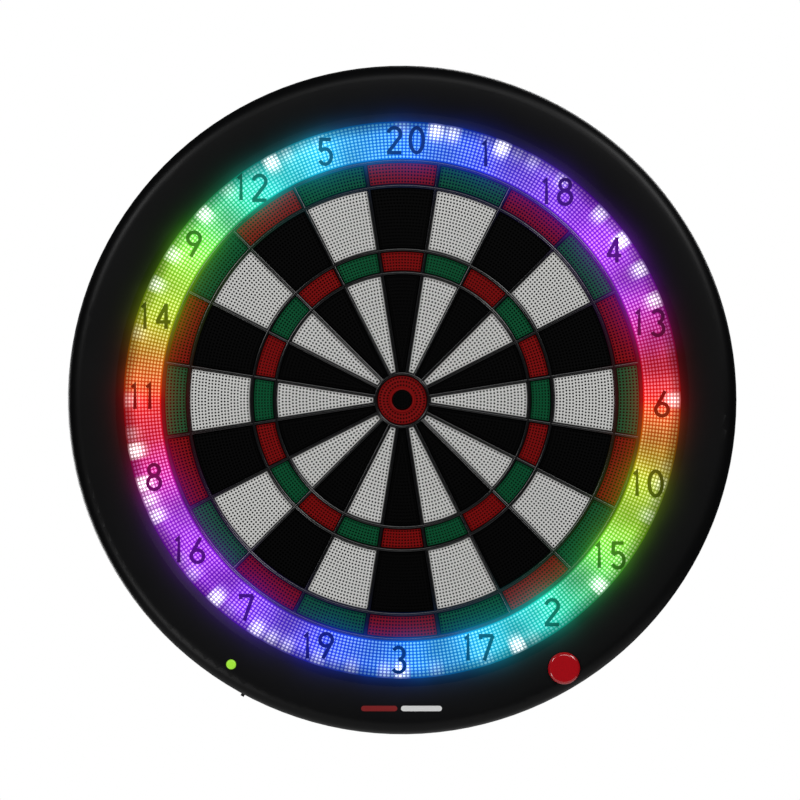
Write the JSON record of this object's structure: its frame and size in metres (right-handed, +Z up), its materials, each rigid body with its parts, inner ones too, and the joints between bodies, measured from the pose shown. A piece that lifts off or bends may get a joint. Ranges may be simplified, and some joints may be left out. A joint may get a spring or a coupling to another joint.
{
  "type": "electronic dartboard",
  "caption": "Round wall-hung electronic dartboard for soft-tip darts: perforated target keys in a black grid, a lit rainbow number ring, a domed black shell, a red button and rear keyholes.",
  "frame": {"origin": "centre of the rear cover's round pad, on the wall's plane, behind the middle of the bull", "axes": "+Z up the wall, +Y into the wall, -Y out of the face towards the players, +X to a player's right"},
  "size_m": [0.5549, 0.0435, 0.555],
  "materials": {
    "key_black": "black moulded plastic, perforated face",
    "key_white": "off-white moulded plastic, perforated face",
    "key_red": "red moulded plastic, perforated face",
    "key_green": "green moulded plastic, perforated face",
    "spider_black": "gloss black moulded ribs",
    "ring_lens": "translucent perforated plastic, lit from behind",
    "shell_black": "black moulded shell with a satin gloss",
    "cover_black": "black moulded plastic with a fine texture",
    "light_white": "white moulded plastic that spreads the light",
    "light_chip": "white light package",
    "circuit_board": "green solder mask",
    "chip_black": "black component packages",
    "shield_steel": "tinned shield",
    "socket_cream": "cream connector housings",
    "screw_steel": "zinc-plated steel",
    "hanger_steel": "zinc-plated steel sheet",
    "mat_rubber": "soft black rubber",
    "foot_rubber": "black rubber",
    "backing_panel": "black glass-filled plastic panel",
    "contact_film": "clear film with printed silver tracks",
    "cable_grey": "grey sheathed cable",
    "button_red": "gloss red moulded cap",
    "spring_steel": "spring steel wire",
    "window_green": "clear light pipe, lit green",
    "light_green": "green light package"
  },
  "bodies": {
    "board": {"spider": "spider_black", "number_ring": "ring_lens", "rubber_mat": "mat_rubber", "sensor_sheet_front": "contact_film", "sensor_sheet_rear": "contact_film", "sensor_tails": "contact_film", "backing_board": "backing_panel", "spider_screws": "screw_steel", "target_screws": "screw_steel", "light_diffuser": "light_white", "light_reflector": "light_white", "ring_lights": "light_chip", "light_board": "circuit_board", "light_cable": "cable_grey", "front_bezel": "shell_black", "rear_cover": "cover_black", "cover_screws": "screw_steel", "wall_feet": "foot_rubber", "hanger_plates": "hanger_steel", "hanger_rivets": "hanger_steel", "button_housing": "cover_black", "button_spring": "spring_steel", "button_switch": "chip_black", "button_board": "circuit_board", "power_window": "window_green", "power_light": "light_green", "switch_body": "chip_black", "switch_board": "circuit_board", "power_socket": "shield_steel", "power_board": "circuit_board", "control_board": "circuit_board", "control_chips": "chip_black", "radio_module": "shield_steel", "board_sockets": "socket_cream", "small_screws": "screw_steel", "cables": "cable_grey"},
    "sector_20": {"sector_20": "key_black"},
    "sector_01": {"sector_01": "key_white"},
    "sector_18": {"sector_18": "key_black"},
    "sector_04": {"sector_04": "key_white"},
    "sector_13": {"sector_13": "key_black"},
    "sector_06": {"sector_06": "key_white"},
    "sector_10": {"sector_10": "key_black"},
    "sector_15": {"sector_15": "key_white"},
    "sector_02": {"sector_02": "key_black"},
    "sector_17": {"sector_17": "key_white"},
    "sector_03": {"sector_03": "key_black"},
    "sector_19": {"sector_19": "key_white"},
    "sector_07": {"sector_07": "key_black"},
    "sector_16": {"sector_16": "key_white"},
    "sector_08": {"sector_08": "key_black"},
    "sector_11": {"sector_11": "key_white"},
    "sector_14": {"sector_14": "key_black"},
    "sector_09": {"sector_09": "key_white"},
    "sector_12": {"sector_12": "key_black"},
    "sector_05": {"sector_05": "key_white"},
    "outer_bull": {"outer_bull": "key_red"},
    "inner_bull": {"inner_bull": "key_black"},
    "red_button": {"red_button": "button_red"},
    "switch_thumb": {"switch_thumb": "cover_black"}
  },
  "joints": [
    {"name": "sector_20_press", "type": "slide", "parent": "board", "child": "sector_20", "axis": [0, 1, 0], "range_m": [0, 0.001], "stiffness_N_per_m": 2000, "springref_m": -0.0005},
    {"name": "sector_01_press", "type": "slide", "parent": "board", "child": "sector_01", "axis": [0, 1, 0], "range_m": [0, 0.001], "stiffness_N_per_m": 2000, "springref_m": -0.0005},
    {"name": "sector_18_press", "type": "slide", "parent": "board", "child": "sector_18", "axis": [0, 1, 0], "range_m": [0, 0.001], "stiffness_N_per_m": 2000, "springref_m": -0.0005},
    {"name": "sector_04_press", "type": "slide", "parent": "board", "child": "sector_04", "axis": [0, 1, 0], "range_m": [0, 0.001], "stiffness_N_per_m": 2000, "springref_m": -0.0005},
    {"name": "sector_13_press", "type": "slide", "parent": "board", "child": "sector_13", "axis": [0, 1, 0], "range_m": [0, 0.001], "stiffness_N_per_m": 2000, "springref_m": -0.0005},
    {"name": "sector_06_press", "type": "slide", "parent": "board", "child": "sector_06", "axis": [0, 1, 0], "range_m": [0, 0.001], "stiffness_N_per_m": 2000, "springref_m": -0.0005},
    {"name": "sector_10_press", "type": "slide", "parent": "board", "child": "sector_10", "axis": [0, 1, 0], "range_m": [0, 0.001], "stiffness_N_per_m": 2000, "springref_m": -0.0005},
    {"name": "sector_15_press", "type": "slide", "parent": "board", "child": "sector_15", "axis": [0, 1, 0], "range_m": [0, 0.001], "stiffness_N_per_m": 2000, "springref_m": -0.0005},
    {"name": "sector_02_press", "type": "slide", "parent": "board", "child": "sector_02", "axis": [0, 1, 0], "range_m": [0, 0.001], "stiffness_N_per_m": 2000, "springref_m": -0.0005},
    {"name": "sector_17_press", "type": "slide", "parent": "board", "child": "sector_17", "axis": [0, 1, 0], "range_m": [0, 0.001], "stiffness_N_per_m": 2000, "springref_m": -0.0005},
    {"name": "sector_03_press", "type": "slide", "parent": "board", "child": "sector_03", "axis": [0, 1, 0], "range_m": [0, 0.001], "stiffness_N_per_m": 2000, "springref_m": -0.0005},
    {"name": "sector_19_press", "type": "slide", "parent": "board", "child": "sector_19", "axis": [0, 1, 0], "range_m": [0, 0.001], "stiffness_N_per_m": 2000, "springref_m": -0.0005},
    {"name": "sector_07_press", "type": "slide", "parent": "board", "child": "sector_07", "axis": [0, 1, 0], "range_m": [0, 0.001], "stiffness_N_per_m": 2000, "springref_m": -0.0005},
    {"name": "sector_16_press", "type": "slide", "parent": "board", "child": "sector_16", "axis": [0, 1, 0], "range_m": [0, 0.001], "stiffness_N_per_m": 2000, "springref_m": -0.0005},
    {"name": "sector_08_press", "type": "slide", "parent": "board", "child": "sector_08", "axis": [0, 1, 0], "range_m": [0, 0.001], "stiffness_N_per_m": 2000, "springref_m": -0.0005},
    {"name": "sector_11_press", "type": "slide", "parent": "board", "child": "sector_11", "axis": [0, 1, 0], "range_m": [0, 0.001], "stiffness_N_per_m": 2000, "springref_m": -0.0005},
    {"name": "sector_14_press", "type": "slide", "parent": "board", "child": "sector_14", "axis": [0, 1, 0], "range_m": [0, 0.001], "stiffness_N_per_m": 2000, "springref_m": -0.0005},
    {"name": "sector_09_press", "type": "slide", "parent": "board", "child": "sector_09", "axis": [0, 1, 0], "range_m": [0, 0.001], "stiffness_N_per_m": 2000, "springref_m": -0.0005},
    {"name": "sector_12_press", "type": "slide", "parent": "board", "child": "sector_12", "axis": [0, 1, 0], "range_m": [0, 0.001], "stiffness_N_per_m": 2000, "springref_m": -0.0005},
    {"name": "sector_05_press", "type": "slide", "parent": "board", "child": "sector_05", "axis": [0, 1, 0], "range_m": [0, 0.001], "stiffness_N_per_m": 2000, "springref_m": -0.0005},
    {"name": "outer_bull_press", "type": "slide", "parent": "board", "child": "outer_bull", "axis": [0, 1, 0], "range_m": [0, 0.001], "stiffness_N_per_m": 800, "springref_m": -0.0005},
    {"name": "inner_bull_press", "type": "slide", "parent": "board", "child": "inner_bull", "axis": [0, 1, 0], "range_m": [0, 0.001], "stiffness_N_per_m": 400, "springref_m": -0.0005},
    {"name": "red_button_press", "type": "slide", "parent": "board", "child": "red_button", "axis": [0, 1, 0], "range_m": [0, 0.0025], "stiffness_N_per_m": 300, "springref_m": -0.003, "deforming": ["button_spring"]},
    {"name": "power_switch_slide", "type": "slide", "parent": "board", "child": "switch_thumb", "axis": [-0.8796, 0, 0.4756], "range_m": [0, 0.004]}
  ]
}
